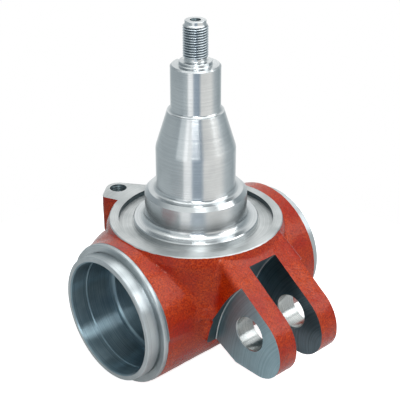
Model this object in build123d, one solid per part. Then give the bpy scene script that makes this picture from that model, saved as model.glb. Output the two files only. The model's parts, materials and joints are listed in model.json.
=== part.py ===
from build123d import *
import os
from math import radians, tan

# Steering knuckle for the steered axle of an industrial truck, forged in one piece and then machined.
# Frame: origin where the spindle axis meets the king-pin axis. +Z runs along the spindle to its
# threaded end, X is the king-pin axis, the link clevis points to -Y and the stop lug to +Y.

# Hub barrel that turns on the king pin
BARREL_R = 60.0
SHOULDER_X = 86.0            # turned shoulder, from the middle of the barrel
SHOULDER_CHAMFER = 1.0
SPIGOT_R = 53.0
SPIGOT_LENGTH = 11.0
SPIGOT_EDGE = 0.7
ROOT_GROOVE_WIDTH = 1.6
ROOT_GROOVE_DEPTH = 0.9

# Stepped bore, the same from both ends
SEAL_BORE_R = 48.0
SEAL_BORE_DEPTH = 15.2
MOUTH_CHAMFER = 1.0
BEARING_BORE_R = 47.25
BEARING_BORE_LENGTH = 24.6
RELIEF_WIDTH = 2.4
RELIEF_DEPTH = 0.9
INNER_BORE_R = 42.0
INNER_CHAMFER = 1.6

# Turned face and seal groove round the foot of the spindle
FACE_Z = 60.7
FACE_R = 72.2
FACE_CHAMFER = 0.7
GROOVE_OUTER_R = 64.4
GROOVE_INNER_R = 52.0
GROOVE_DEPTH = 4.4
RING_PROUD = 0.6
RING_CHAMFER = 0.8

# Forged pad under the turned face
PAD_R = 74.8
PAD_SHOULDER_DROP = 7.0
PAD_SHOULDER_ROUND = 12.0
PAD_FOOT_Z = 8.0
PAD_LIP_R = 79.0
PAD_LIP_HEIGHT = 2.5
PAD_LIP_FLARE = 8.0
PAD_LIP_ROUND = 9.0

# Spindle, from its foot to its tip
COLLAR_R = 42.2
COLLAR_FOOT_FILLET = 5.5
COLLAR_TOP_Z = 87.2
COLLAR_CHAMFER = 3.2
LARGE_SEAT_R = 32.5
LARGE_SEAT_FOOT = 3.2
LARGE_SEAT_TOP_Z = 123.5
TAPER_BLEND_R = 14.0
TAPER_TOP_R = 22.8
TAPER_TOP_Z = 154.6
SMALL_SEAT_R = 20.0
SMALL_SEAT_FOOT = 2.0
SMALL_SEAT_TOP_Z = 192.2
SMALL_SEAT_CHAMFER = 1.3
NECK_BOSS_R = 13.2
NECK_BOSS_HEIGHT = 3.0
NECK_FOOT = 1.5
THREAD_R = 10.0
THREAD_RELIEF_R = 8.7
NECK_LENGTH = 3.0
THREAD_LENGTH = 25.7
TIP_R = 8.4
TIP_LENGTH = 1.5
CENTRE_HOLE_R = 2.6
CENTRE_HOLE_DEPTH = 9.0
CENTRE_MOUTH_R = 4.3

# Keyway for the tongue of the locking washer
KEYWAY_WIDTH = 5.0
KEYWAY_FLOOR_R = 16.4
KEYWAY_LENGTH = 9.0

# Clevis for the steering link
SLOT_WIDTH = 29.0
EAR_THICKNESS = 18.2
PIN_HOLE_R = 14.0
PIN_HOLE_CHAMFER = 0.6
PIN_Y = -97.4
PIN_Z = 5.6
EAR_NOSE = 33.6              # from the pin's axis to the tip
EAR_TOP_SLOPE = 35.0         # degrees, falling towards the tip
EAR_TOP_Y = -78.0
EAR_TOP_Z = 50.0
EAR_BOTTOM_Z = -28.5
EAR_BOTTOM_Y = -83.0
EAR_ROOT_Y = -56.0
EAR_ROOT_Z = -15.5
EAR_UPPER_NOSE_R = 33.0
EAR_LOWER_NOSE_R = 24.0
EAR_EDGE_R = 3.6
BLOCK_START_Y = -40.0
BLOCK_HALF_WIDTH = 36.0      # forged side, at the level of EAR_TOP_Z
BLOCK_DRAFT = 6.5
SLOT_CUTTER_R = 94.0
SLOT_CUTTER_Y = -145.3
SLOT_CUTTER_Z = -15.4
FACE_CUTTER_R = 107.0
FACE_CUTTER_Y = -166.8
FACE_CUTTER_Z = -29.7

# Stop lug with its tapped hole
LUG_HOLE_R = 6.2
LUG_HOLE_CHAMFER = 1.2
LUG_HOLE_X = -16.3
LUG_HOLE_Y = 84.0
LUG_TIP_R = 11.0
LUG_CORNER_X = -37.0
LUG_CORNER_Y = 78.5
LUG_CORNER_R = 4.0
LUG_DEPTH = 34.0
LUG_SEAT_R = 9.5             # flat underside round the tapped hole
LUG_RIGHT_X = 9.0
LUG_RIGHT_Y = 70.6
LUG_FOOT_Y = 55.0
LUG_FOOT_SET = 14.0
GUSSET_FOOT_Z = -8.0

# Web at the back, a barrel-shaped swelling that fades towards the hub's end and under the lug
WEB_END_X = -84.0
WEB_CREST_X = -57.0
WEB_FADE_X = -18.0
WEB_R = 62.5
WEB_SET_Y = 12.0
WEB_DROP_Z = 2.5
WEB_MARGIN = 0.2

# Overlaps inside the solid and blocks used only to trim
SPINDLE_SINK = 14.0
OVERRUN = 1.0                # how far a cutting tool starts outside the metal
GUSSET_SINK = 2.0
TRIM_SIZE = 500.0

ring_top = FACE_Z + RING_PROUD
boss_top = SMALL_SEAT_TOP_Z + NECK_BOSS_HEIGHT
thread_bottom = boss_top + NECK_LENGTH
thread_top = thread_bottom + THREAD_LENGTH
tip_z = thread_top + THREAD_R - TIP_R + TIP_LENGTH
shoulder_end = SHOULDER_X + SPIGOT_LENGTH
seal_end = shoulder_end - SEAL_BORE_DEPTH
bearing_end = seal_end - BEARING_BORE_LENGTH
ear_outer_x = SLOT_WIDTH / 2 + EAR_THICKNESS
ear_tip_y = PIN_Y - EAR_NOSE
slope = tan(radians(EAR_TOP_SLOPE))


def ear_top_z(y):
    """Height of the clevis's sloping top at a given y."""
    return EAR_TOP_Z + slope * (y - EAR_TOP_Y)


def outline(*points):
    """Flat face inside a closed outline."""
    return make_face(Polyline(*points, close=True))


def rounded(face, corner, radius):
    """The face with the outline's vertex nearest to a point rounded off."""
    return fillet(face.vertices().sort_by_distance((*corner, 0))[0], radius)


def bevelled(face, corner, length):
    """The face with the outline's vertex nearest to a point cut at 45 degrees."""
    return chamfer(face.vertices().sort_by_distance((*corner, 0))[0], length)


def turned(face):
    """Solid turned about Z from a face drawn as (radius, height)."""
    return revolve(Plane.XZ * face, Axis.Z)


def turned_about_x(face):
    """Solid turned about X from a face drawn as (radius, distance along +X)."""
    return Rot(0, 90, 0) * turned(face)


def barrel():
    """Forged barrel, plain between the two turned shoulders."""
    return Rot(0, 90, 0) * Cylinder(BARREL_R, 2 * SHOULDER_X)


def pad():
    """Forged pad that carries the spindle, with a lip along its lower edge."""
    lip_top = PAD_FOOT_Z + PAD_LIP_HEIGHT
    half = outline(
        (0, PAD_FOOT_Z),
        (PAD_LIP_R, PAD_FOOT_Z),
        (PAD_LIP_R, lip_top),
        (PAD_R, lip_top + PAD_LIP_FLARE),
        (PAD_R, FACE_Z - PAD_SHOULDER_DROP),
        (FACE_R, FACE_Z),
        (0, FACE_Z),
    )
    half = rounded(half, (PAD_R, lip_top + PAD_LIP_FLARE), PAD_LIP_ROUND)
    half = rounded(half, (PAD_R, FACE_Z - PAD_SHOULDER_DROP), PAD_SHOULDER_ROUND)
    return turned(half)


def clevis_block():
    """Forged block of the clevis, with its side draft and rounded upper edges."""
    side = outline(
        (BLOCK_START_Y, ear_top_z(BLOCK_START_Y)),
        (ear_tip_y, ear_top_z(ear_tip_y)),
        (ear_tip_y, EAR_BOTTOM_Z),
        (EAR_BOTTOM_Y, EAR_BOTTOM_Z),
        (EAR_ROOT_Y, EAR_ROOT_Z),
        (BLOCK_START_Y, EAR_ROOT_Z),
    )
    side = rounded(side, (ear_tip_y, ear_top_z(ear_tip_y)), EAR_UPPER_NOSE_R)
    side = rounded(side, (ear_tip_y, EAR_BOTTOM_Z), EAR_LOWER_NOSE_R)
    prism = extrude(Plane.YZ * side, amount=2 * BLOCK_HALF_WIDTH, both=True)
    lean = tan(radians(BLOCK_DRAFT))
    high = ear_top_z(BLOCK_START_Y) + OVERRUN
    low = EAR_BOTTOM_Z - OVERRUN
    half_high = BLOCK_HALF_WIDTH - lean * (high - EAR_TOP_Z)
    half_low = BLOCK_HALF_WIDTH - lean * (low - EAR_TOP_Z)
    section = outline((-half_high, high), (half_high, high), (half_low, low), (-half_low, low))
    block = prism & extrude(Plane.XZ * section, amount=OVERRUN - ear_tip_y)
    upper_edges = [
        edge
        for edge in block.edges()
        if abs(edge.center().X) > ear_outer_x - EAR_THICKNESS
        and edge.center().Y < BLOCK_START_Y - OVERRUN
        and abs(edge.center().Z - ear_top_z(edge.center().Y)) < OVERRUN
    ]
    block = fillet(upper_edges, EAR_EDGE_R)
    return block & below(FACE_Z)


def below(z):
    """Large block that fills the space under a height, for trimming."""
    return Pos(0, 0, z - TRIM_SIZE / 2) * Box(TRIM_SIZE, TRIM_SIZE, TRIM_SIZE)


def lug():
    """Forged stop lug at the back of the pad, on a gusset that runs down to the barrel."""
    plan = make_hull(
        [
            Edge.make_circle(LUG_TIP_R, Plane((LUG_HOLE_X, LUG_HOLE_Y, 0))),
            Edge.make_circle(LUG_CORNER_R, Plane((LUG_CORNER_X + LUG_CORNER_R, LUG_CORNER_Y, 0))),
            Edge.make_circle(LUG_CORNER_R, Plane((LUG_RIGHT_X - LUG_CORNER_R, LUG_RIGHT_Y - LUG_CORNER_R, 0))),
            Edge.make_circle(LUG_CORNER_R, Plane((LUG_CORNER_X + LUG_FOOT_SET, LUG_FOOT_Y, 0))),
        ]
    )
    tip_y = LUG_HOLE_Y + LUG_TIP_R
    under_z = FACE_Z - LUG_DEPTH
    side = outline(
        (0, FACE_Z),
        (tip_y, FACE_Z),
        (tip_y, under_z),
        (LUG_HOLE_Y - LUG_SEAT_R, under_z),
        (BARREL_R - GUSSET_SINK, GUSSET_FOOT_Z),
        (0, GUSSET_FOOT_Z),
    )
    web = extrude(Plane.YZ * side, amount=TRIM_SIZE / 2, both=True)
    column = Pos(0, 0, GUSSET_FOOT_Z) * extrude(plan, amount=FACE_Z - GUSSET_FOOT_Z)
    return web & column


def web():
    """Forged web behind the pad, which swells out of the barrel between the hub's end and the lug."""
    stations = (
        (WEB_END_X, 0, 0, BARREL_R - WEB_MARGIN),
        (WEB_CREST_X, WEB_SET_Y, -WEB_DROP_Z, WEB_R),
        (WEB_FADE_X, 0, 0, BARREL_R - WEB_MARGIN),
    )
    sections = [Plane((x, y, z), x_dir=(0, 1, 0), z_dir=(1, 0, 0)) * Circle(r) for x, y, z, r in stations]
    swelling = loft(sections, ruled=True)
    above = Pos(0, 0, PAD_FOOT_Z + TRIM_SIZE / 2) * Box(TRIM_SIZE, TRIM_SIZE, TRIM_SIZE)
    return swelling & above & below(FACE_Z)


def spindle():
    """Turned spindle with its collar, two bearing seats, taper and threaded end."""
    half = outline(
        (0, BARREL_R - SPINDLE_SINK),
        (GROOVE_INNER_R, BARREL_R - SPINDLE_SINK),
        (GROOVE_INNER_R, ring_top),
        (COLLAR_R, ring_top),
        (COLLAR_R, COLLAR_TOP_Z),
        (LARGE_SEAT_R, COLLAR_TOP_Z),
        (LARGE_SEAT_R, LARGE_SEAT_TOP_Z),
        (TAPER_TOP_R, TAPER_TOP_Z),
        (SMALL_SEAT_R, TAPER_TOP_Z),
        (SMALL_SEAT_R, SMALL_SEAT_TOP_Z),
        (NECK_BOSS_R, SMALL_SEAT_TOP_Z),
        (NECK_BOSS_R, boss_top),
        (THREAD_RELIEF_R, boss_top),
        (THREAD_RELIEF_R, thread_bottom - THREAD_R + THREAD_RELIEF_R),
        (THREAD_R, thread_bottom),
        (THREAD_R, thread_top),
        (TIP_R, thread_top + THREAD_R - TIP_R),
        (TIP_R, tip_z),
        (0, tip_z),
    )
    half = bevelled(half, (GROOVE_INNER_R, ring_top), RING_CHAMFER)
    half = rounded(half, (COLLAR_R, ring_top), COLLAR_FOOT_FILLET)
    half = bevelled(half, (COLLAR_R, COLLAR_TOP_Z), COLLAR_CHAMFER)
    half = bevelled(half, (LARGE_SEAT_R, COLLAR_TOP_Z), LARGE_SEAT_FOOT)
    half = rounded(half, (LARGE_SEAT_R, LARGE_SEAT_TOP_Z), TAPER_BLEND_R)
    half = bevelled(half, (SMALL_SEAT_R, TAPER_TOP_Z), SMALL_SEAT_FOOT)
    half = bevelled(half, (SMALL_SEAT_R, SMALL_SEAT_TOP_Z), SMALL_SEAT_CHAMFER)
    half = bevelled(half, (THREAD_RELIEF_R, boss_top), NECK_FOOT)
    return turned(half)


def hub_end():
    """Turned spigot that stands out of the barrel's +X shoulder, without its bores."""
    half = outline(
        (INNER_BORE_R - OVERRUN, SHOULDER_X - OVERRUN),
        (SPIGOT_R, SHOULDER_X - OVERRUN),
        (SPIGOT_R, shoulder_end),
        (INNER_BORE_R - OVERRUN, shoulder_end),
    )
    return turned_about_x(bevelled(half, (SPIGOT_R, shoulder_end), SPIGOT_EDGE))


def hub_bore():
    """Material that the boring of the +X end takes away, seen from the middle of the barrel out."""
    return turned_about_x(
        outline(
            (0, -OVERRUN),
            (INNER_BORE_R, -OVERRUN),
            (INNER_BORE_R, bearing_end - INNER_CHAMFER),
            (INNER_BORE_R + INNER_CHAMFER, bearing_end),
            (BEARING_BORE_R + RELIEF_DEPTH, bearing_end),
            (BEARING_BORE_R + RELIEF_DEPTH, bearing_end + RELIEF_WIDTH),
            (BEARING_BORE_R, bearing_end + RELIEF_WIDTH),
            (BEARING_BORE_R, seal_end - SEAL_BORE_R + BEARING_BORE_R),
            (SEAL_BORE_R, seal_end),
            (SEAL_BORE_R, shoulder_end - MOUTH_CHAMFER),
            (SEAL_BORE_R + MOUTH_CHAMFER, shoulder_end),
            (SEAL_BORE_R + MOUTH_CHAMFER, shoulder_end + OVERRUN),
            (0, shoulder_end + OVERRUN),
        )
    )


def shoulder_trim():
    """Root groove behind the spigot and the chamfer on the shoulder's rim, at the +X end."""
    groove = outline(
        (SPIGOT_R - ROOT_GROOVE_DEPTH, SHOULDER_X),
        (SPIGOT_R + OVERRUN, SHOULDER_X),
        (SPIGOT_R + OVERRUN, SHOULDER_X + ROOT_GROOVE_WIDTH),
        (SPIGOT_R - ROOT_GROOVE_DEPTH, SHOULDER_X + ROOT_GROOVE_WIDTH),
    )
    rim = outline(
        (BARREL_R - SHOULDER_CHAMFER - OVERRUN, SHOULDER_X + OVERRUN),
        (BARREL_R + OVERRUN, SHOULDER_X + OVERRUN),
        (BARREL_R + OVERRUN, SHOULDER_X - SHOULDER_CHAMFER - OVERRUN),
    )
    return turned_about_x(groove) + turned_about_x(rim)


def both_ends(piece):
    """A piece of the +X end and its mirror image at the -X end."""
    return piece + mirror(piece, Plane.YZ)


def disc_cut(radius, y, z, inner_x, outer_x):
    """Space swept by a disc cutter on an axis parallel to X, between two values of x."""
    length = outer_x - inner_x
    return Pos((inner_x + outer_x) / 2, y, z) * Rot(0, 90, 0) * Cylinder(radius, length)


def seal_groove():
    """Annular groove in the turned face, outside the raised ring."""
    return turned(
        outline(
            (GROOVE_INNER_R, FACE_Z - GROOVE_DEPTH),
            (GROOVE_OUTER_R, FACE_Z - GROOVE_DEPTH),
            (GROOVE_OUTER_R, FACE_Z + OVERRUN),
            (GROOVE_INNER_R, FACE_Z + OVERRUN),
        )
    )


def face_chamfer():
    """Material outside the small chamfer round the turned face."""
    return turned(
        outline(
            (FACE_R - FACE_CHAMFER, FACE_Z),
            (FACE_R + OVERRUN, FACE_Z - FACE_CHAMFER - OVERRUN),
            (FACE_R + OVERRUN, FACE_Z + OVERRUN),
            (FACE_R - FACE_CHAMFER, FACE_Z + OVERRUN),
        )
    )


def pin_hole():
    """Reamed hole for the link pin, through both ears, with its edges broken."""
    cut = Pos(0, PIN_Y, PIN_Z) * Rot(0, 90, 0) * Cylinder(PIN_HOLE_R, 4 * ear_outer_x)
    for side in (-1, 1):
        for face_x, out in ((side * ear_outer_x, side), (side * SLOT_WIDTH / 2, -side)):
            cone = Cone(PIN_HOLE_R, PIN_HOLE_R + PIN_HOLE_CHAMFER, PIN_HOLE_CHAMFER)
            centre_x = face_x - out * PIN_HOLE_CHAMFER / 2
            cut += Pos(centre_x, PIN_Y, PIN_Z) * Rot(0, 90 * out, 0) * cone
    return cut


def lug_hole():
    """Tapped hole through the stop lug, at the thread's minor radius."""
    hole = Cylinder(LUG_HOLE_R, 4 * LUG_DEPTH)
    mouth = Cone(LUG_HOLE_R, LUG_HOLE_R + LUG_HOLE_CHAMFER, LUG_HOLE_CHAMFER)
    return Pos(LUG_HOLE_X, LUG_HOLE_Y, FACE_Z) * (hole + Pos(0, 0, -LUG_HOLE_CHAMFER / 2) * mouth)


def keyway():
    """Keyway in the small seat for the tongue of the locking washer, open at the seat's end."""
    depth = SMALL_SEAT_R - KEYWAY_FLOOR_R + OVERRUN
    length = KEYWAY_LENGTH + OVERRUN
    centre = Pos(0, KEYWAY_FLOOR_R + depth / 2, SMALL_SEAT_TOP_Z - KEYWAY_LENGTH + length / 2)
    return centre * Box(KEYWAY_WIDTH, depth, length)


def centre_hole():
    """Lathe centre in the spindle's tip: a drilled hole with a 60 degree mouth."""
    mouth_depth = (CENTRE_MOUTH_R - CENTRE_HOLE_R) / tan(radians(30))
    return turned(
        outline(
            (0, tip_z - CENTRE_HOLE_DEPTH - CENTRE_HOLE_R / 2),
            (CENTRE_HOLE_R, tip_z - CENTRE_HOLE_DEPTH),
            (CENTRE_HOLE_R, tip_z - mouth_depth),
            (CENTRE_MOUTH_R, tip_z),
            (CENTRE_MOUTH_R, tip_z + OVERRUN),
            (0, tip_z + OVERRUN),
        )
    )


def knuckle():
    """The whole knuckle: the forging first, then what is turned, bored, milled and drilled."""
    body = barrel() + pad() + clevis_block() + lug() + web()
    body = body + spindle() + both_ends(hub_end())
    body -= both_ends(hub_bore())
    body -= both_ends(shoulder_trim())
    body -= seal_groove()
    body -= face_chamfer()
    body -= disc_cut(SLOT_CUTTER_R, SLOT_CUTTER_Y, SLOT_CUTTER_Z, -SLOT_WIDTH / 2, SLOT_WIDTH / 2)
    milled = disc_cut(FACE_CUTTER_R, FACE_CUTTER_Y, FACE_CUTTER_Z, ear_outer_x, 3 * ear_outer_x)
    body -= both_ends(milled)
    body -= pin_hole()
    body -= lug_hole()
    body -= keyway()
    body -= centre_hole()
    return body


os.makedirs("parts", exist_ok=True)
part = knuckle()
solids = part.solids()
print("solids", len(solids), "volume", round(part.volume), "valid", part.is_valid)
export_step(solids[0], "parts/steering_knuckle.step")
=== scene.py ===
"""Dresses a forged and machined steering knuckle for the steer axle of an industrial truck.

The raw forging is a signed distance field with rounded roots, turned into a mesh, roughened like
shot-blasted and primed steel, and then machined by exact cuts, in the order in which the real part
is made. Every cut face keeps the finish of its own tool. Lengths are millimetres until a mesh is
written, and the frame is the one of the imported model: Z along the spindle, X along the king pin.
"""

import json
import logging
import math
from dataclasses import dataclass, field
from enum import Enum
from typing import Any, Callable, Sequence

import bpy
import numpy as np
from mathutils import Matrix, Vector


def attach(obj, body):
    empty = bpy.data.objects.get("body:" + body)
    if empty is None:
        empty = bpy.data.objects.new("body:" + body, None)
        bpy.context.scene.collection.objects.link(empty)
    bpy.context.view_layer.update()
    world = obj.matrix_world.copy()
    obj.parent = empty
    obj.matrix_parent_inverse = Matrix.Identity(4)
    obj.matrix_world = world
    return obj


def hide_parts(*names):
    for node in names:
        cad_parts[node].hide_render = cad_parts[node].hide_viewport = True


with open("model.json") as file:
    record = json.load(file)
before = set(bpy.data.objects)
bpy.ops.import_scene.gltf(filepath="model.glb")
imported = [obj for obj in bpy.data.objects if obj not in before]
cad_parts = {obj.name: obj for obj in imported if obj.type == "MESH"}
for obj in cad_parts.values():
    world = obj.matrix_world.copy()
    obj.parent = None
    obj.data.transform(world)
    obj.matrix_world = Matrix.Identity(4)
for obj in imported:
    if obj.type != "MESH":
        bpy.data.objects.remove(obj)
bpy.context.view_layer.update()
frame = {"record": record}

log = logging.getLogger("knuckle")

MM = 0.001
Array = np.ndarray
Object = bpy.types.Object
Point = tuple[float, float]
Point3 = tuple[float, float, float]
Distance = Callable[[Array], Array]
Panels = tuple[tuple[float, str], ...]


# Sizes that more than one class works to
FACE_Z = 60.7
RIM_R = 72.2
RING_R = 52.0
LUG_HOLE: Point = (-16.3, 84.0)


class Surface(Enum):
    """Which tool or coat left a face, in the order of the material slots."""

    PRIMER = 0
    TURNED = 1
    FACED = 2
    HUB_TURNED = 3
    BORED = 4
    MILLED = 5
    REAMED = 6
    THREADED = 7
    # Walls of grooves, holes and steps: their dark colour is painted shade.
    SHADED_RECESS = 8
    HUB_FACED = 9
    # The slot's inner faces: their darker colour is painted shade.
    SHADED_SLOT = 10


class Axis(Enum):
    """Axis that a piece or the marks on it turn about."""

    SPINDLE = "Z"
    KING_PIN = "X"


class Operation(Enum):
    """What a tool body does to the piece."""

    CUT = "DIFFERENCE"
    JOIN = "UNION"


# Signed distances


def union_round(a: Array, b: Array, radius: float | Array) -> Array:
    """Joins two bodies with a fillet in the corner between them.

    The corner is replaced by the circle of that radius which touches both faces.

    Args:
        a: Signed distances to the first body.
        b: Signed distances to the second body.
        radius: Fillet radius in millimetres, one for all or one for each point.

    Returns:
        Signed distances to the joined body.
    """
    corner = np.hypot(np.maximum(radius - a, 0), np.maximum(radius - b, 0))
    return np.maximum(radius, np.minimum(a, b)) - corner


def intersect_round(a: Array, b: Array, radius: float) -> Array:
    """Keeps what two bodies share and rounds the edge where their faces meet.

    Args:
        a: Signed distances to the first body.
        b: Signed distances to the second body.
        radius: Edge radius in millimetres.

    Returns:
        Signed distances to the common body.
    """
    corner = np.hypot(np.maximum(radius + a, 0), np.maximum(radius + b, 0))
    return np.minimum(-radius, np.maximum(a, b)) + corner


def polygon_distance(u: Array, v: Array, outline: Sequence[Point]) -> Array:
    """Signed distance from points to a closed outline in a plane, negative inside.

    The distance to each side is the distance to the nearest point of its segment, and the sign
    flips at every side that a ray from the point crosses.

    Args:
        u: First coordinates of the points.
        v: Second coordinates of the points.
        outline: Corners in order, in millimetres.

    Returns:
        Signed distances, in the shape of u.
    """
    nearest = np.full(np.shape(u), np.inf)
    sign = np.ones(np.shape(u))
    for (au, av), (bu, bv) in zip(outline, [*outline[1:], outline[0]]):
        su, sv = bu - au, bv - av
        pu, pv = u - au, v - av
        along = np.clip((pu * su + pv * sv) / (su * su + sv * sv), 0, 1)
        nearest = np.minimum(nearest, np.hypot(pu - along * su, pv - along * sv))
        crossed = ((pv >= 0) != (v >= bv)) & ((pu * sv < pv * su) == (sv > 0))
        sign = np.where(crossed, -sign, sign)
    return sign * nearest


def ramp(value: Array, low: float, high: float) -> Array:
    """Share of the way from low to high, from 0 to 1."""
    return np.clip((value - low) / (high - low), 0, 1)


def arc(centre: Point, radius: float, start: float, end: float, steps: int = 12) -> list[Point]:
    """Points along an arc of a circle.

    Args:
        centre: Centre of the circle.
        radius: Radius in millimetres.
        start: Angle of the first point, in degrees.
        end: Angle of the last point, in degrees.
        steps: Number of points.

    Returns:
        The points, as radius times cosine and sine of evenly spaced angles.
    """
    angles = np.radians(np.linspace(start, end, steps))
    return [(centre[0] + radius * math.cos(t), centre[1] + radius * math.sin(t)) for t in angles]


def hull(points: Sequence[Point]) -> list[Point]:
    """Convex outline round a set of points, counter-clockwise.

    Args:
        points: The points to enclose.

    Returns:
        The corners of the outline.
    """
    ordered = sorted(points)

    def chain(run: Sequence[Point]) -> list[Point]:
        """One side of the outline, keeping only left turns.

        Args:
            run: The points in order.

        Returns:
            The corners but for the last, which starts the other side.
        """
        kept: list[Point] = []
        for x, y in run:
            while len(kept) > 1:
                (ax, ay), (bx, by) = kept[-2], kept[-1]
                if (bx - ax) * (y - ay) - (by - ay) * (x - ax) > 0:
                    break
                kept.pop()
            kept.append((x, y))
        return kept[:-1]

    return chain(ordered) + chain(ordered[::-1])


def value_noise(p: Array, cell: float, seed: int) -> Array:
    """Smooth random field with values from -1 to 1.

    Random values on the corners of a cubic lattice are blended with a smooth step along each axis.

    Args:
        p: Points, one row each, in millimetres.
        cell: Lattice spacing in millimetres.
        seed: Seed of the random values.

    Returns:
        One value for each point.
    """
    size = 64
    lattice = np.random.default_rng(seed).uniform(-1, 1, (size, size, size))
    q = p / cell
    base = np.floor(q).astype(int)
    t = q - base
    t = t * t * (3 - 2 * t)
    total = np.zeros(len(p))
    for corner in np.ndindex(2, 2, 2):
        index = (base + corner) % size
        weight = np.prod(np.where(np.array(corner) == 1, t, 1 - t), axis=1)
        total += weight * lattice[index[:, 0], index[:, 1], index[:, 2]]
    return total


def lattice_distance(distance: Distance, low: Array, high: Array, cell: float) -> Array:
    """Distance on a cubic lattice, exact near the surface and coarse elsewhere.

    The field is first sampled once in each block of lattice points. Only the blocks whose sample
    is closer to the surface than about the block's width are then sampled point by point.

    Args:
        distance: Signed distance of points, one row each.
        low: Lowest corner of the lattice.
        high: Highest corner of the lattice.
        cell: Lattice spacing in millimetres.

    Returns:
        Distances in an array with one axis for each direction.
    """
    block = 5
    near = 1.1 * block * cell
    batches = 24
    blocks = np.ceil((np.asarray(high) - low) / (cell * block)).astype(int)
    first = np.stack(np.meshgrid(*[np.arange(n) for n in blocks], indexing="ij"), axis=-1)
    centres = (first.reshape(-1, 3) * block + (block - 1) / 2) * cell + low
    middle = distance(centres).reshape(blocks)
    field_value = middle
    for axis in range(3):
        field_value = np.repeat(field_value, block, axis=axis)
    offsets = np.stack(np.meshgrid(*[np.arange(block)] * 3, indexing="ij"), axis=-1).reshape(-1, 3)
    for group in np.array_split(first[np.abs(middle) < near], batches):
        index = (group[:, None, :] * block + offsets).reshape(-1, 3)
        field_value[tuple(index.T)] = distance(index * cell + low)
    return field_value


def surface_mesh(distance: Distance, low: Array, high: Array, cell: float) -> tuple[Array, Array]:
    """Skins the zero level of a distance field with quads, by the surface nets method.

    Each lattice cell that the surface passes through gets one vertex at the mean of the points
    where the surface cuts its edges, and each cut edge gets one quad between its four cells. The
    vertices are then moved onto the surface along the field's gradient.

    Args:
        distance: Signed distance of points, one row each.
        low: Lowest corner of the lattice.
        high: Highest corner of the lattice.
        cell: Lattice spacing in millimetres.

    Returns:
        Vertex positions and the four vertex numbers of each quad.
    """
    passes = 3
    field_value = lattice_distance(distance, low, high, cell)
    shape = field_value.shape
    solid = field_value < 0
    cells = tuple(n - 1 for n in shape)
    total = np.zeros(cells + (3,))
    count = np.zeros(cells)
    cuts = []
    for axis in range(3):
        step = np.eye(3, dtype=int)[axis]
        near = tuple(slice(0, n - s) for n, s in zip(shape, step))
        far = tuple(slice(s, n) for n, s in zip(shape, step))
        cut = np.argwhere(solid[near] != solid[far])
        before = field_value[near][tuple(cut.T)]
        after = field_value[far][tuple(cut.T)]
        point = cut + np.outer(before / (before - after), step)
        cuts.append((axis, cut, solid[near][tuple(cut.T)]))
        others = [k for k in range(3) if k != axis]
        for shift in np.ndindex(2, 2):
            owner = cut.copy()
            owner[:, others] -= np.array(shift)
            good = np.all((owner >= 0) & (owner < cells), axis=1)
            np.add.at(total, tuple(owner[good].T), point[good])
            np.add.at(count, tuple(owner[good].T), 1)
    used = count > 0
    number = np.full(cells, -1)
    number[used] = np.arange(used.sum())
    vertices = total[used] / count[used][:, None] * cell + np.asarray(low)
    quads = []
    for axis, cut, outward in cuts:
        a, b = [k for k in range(3) if k != axis]
        ring = []
        for da, db in ((0, 0), (-1, 0), (-1, -1), (0, -1)):
            owner = cut.copy()
            owner[:, a] += da
            owner[:, b] += db
            ring.append(owner)
        good = np.all([np.all((o >= 0) & (o < cells), axis=1) for o in ring], axis=0)
        quad = np.stack([number[tuple(o[good].T)] for o in ring], axis=1)
        turn = outward[good] == (axis != 1)
        quads.append(np.where(turn[:, None], quad, quad[:, ::-1]))
    for _ in range(passes):
        vertices = vertices - project(distance, vertices)
    return vertices, np.concatenate(quads)


def project(distance: Distance, p: Array) -> Array:
    """Step from each point to the zero level: the distance times the gradient over its square.

    Args:
        distance: Signed distance of points, one row each.
        p: Points near the surface, one row each.

    Returns:
        The steps, to be taken away from the points.
    """
    probe = 0.02
    least_square = 0.25
    here = distance(p)
    slope = np.stack([(distance(p + probe * e) - here) / probe for e in np.eye(3)], axis=1)
    square = np.maximum((slope * slope).sum(axis=1), least_square)
    return here[:, None] * slope / square[:, None]


def surface_normal(distance: Distance, p: Array) -> Array:
    """Unit gradient of a distance field.

    Args:
        distance: Signed distance of points, one row each.
        p: Points near the surface, one row each.

    Returns:
        Outward unit vectors, one row each.
    """
    probe = 0.05
    pairs = [distance(p + probe * e) - distance(p - probe * e) for e in np.eye(3)]
    slope = np.stack(pairs, axis=1)
    return slope / np.linalg.norm(slope, axis=1, keepdims=True)


# Meshes


def write_mesh(
    name: str, vertices: Array, faces: Sequence[Sequence[int]], surface: Surface
) -> Object:
    """Makes an object from points in millimetres.

    Args:
        name: Name of the object and its mesh.
        vertices: Points, one row each.
        faces: Vertex numbers of each face, outward faces counter-clockwise.
        surface: Finish of all the faces.

    Returns:
        The linked object.
    """
    mesh = bpy.data.meshes.new(name)
    mesh.from_pydata((np.asarray(vertices) * MM).tolist(), [], [tuple(f) for f in faces])
    mesh.update()
    for item in Surface:
        mesh.materials.append(bpy.data.materials[item.name.lower()])
    paint_faces(mesh, np.full(len(mesh.polygons), surface.value))
    piece = bpy.data.objects.new(name, mesh)
    bpy.context.scene.collection.objects.link(piece)
    return piece


def paint_faces(mesh: bpy.types.Mesh, slots: Array) -> None:
    """Sets the material slot of every face."""
    mesh.polygons.foreach_set("material_index", slots.astype(np.int32))
    mesh.update()


def circle(segments: int) -> Array:
    """Angles of evenly spaced points round a full turn."""
    return np.linspace(0, 2 * math.pi, segments, endpoint=False)


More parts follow.
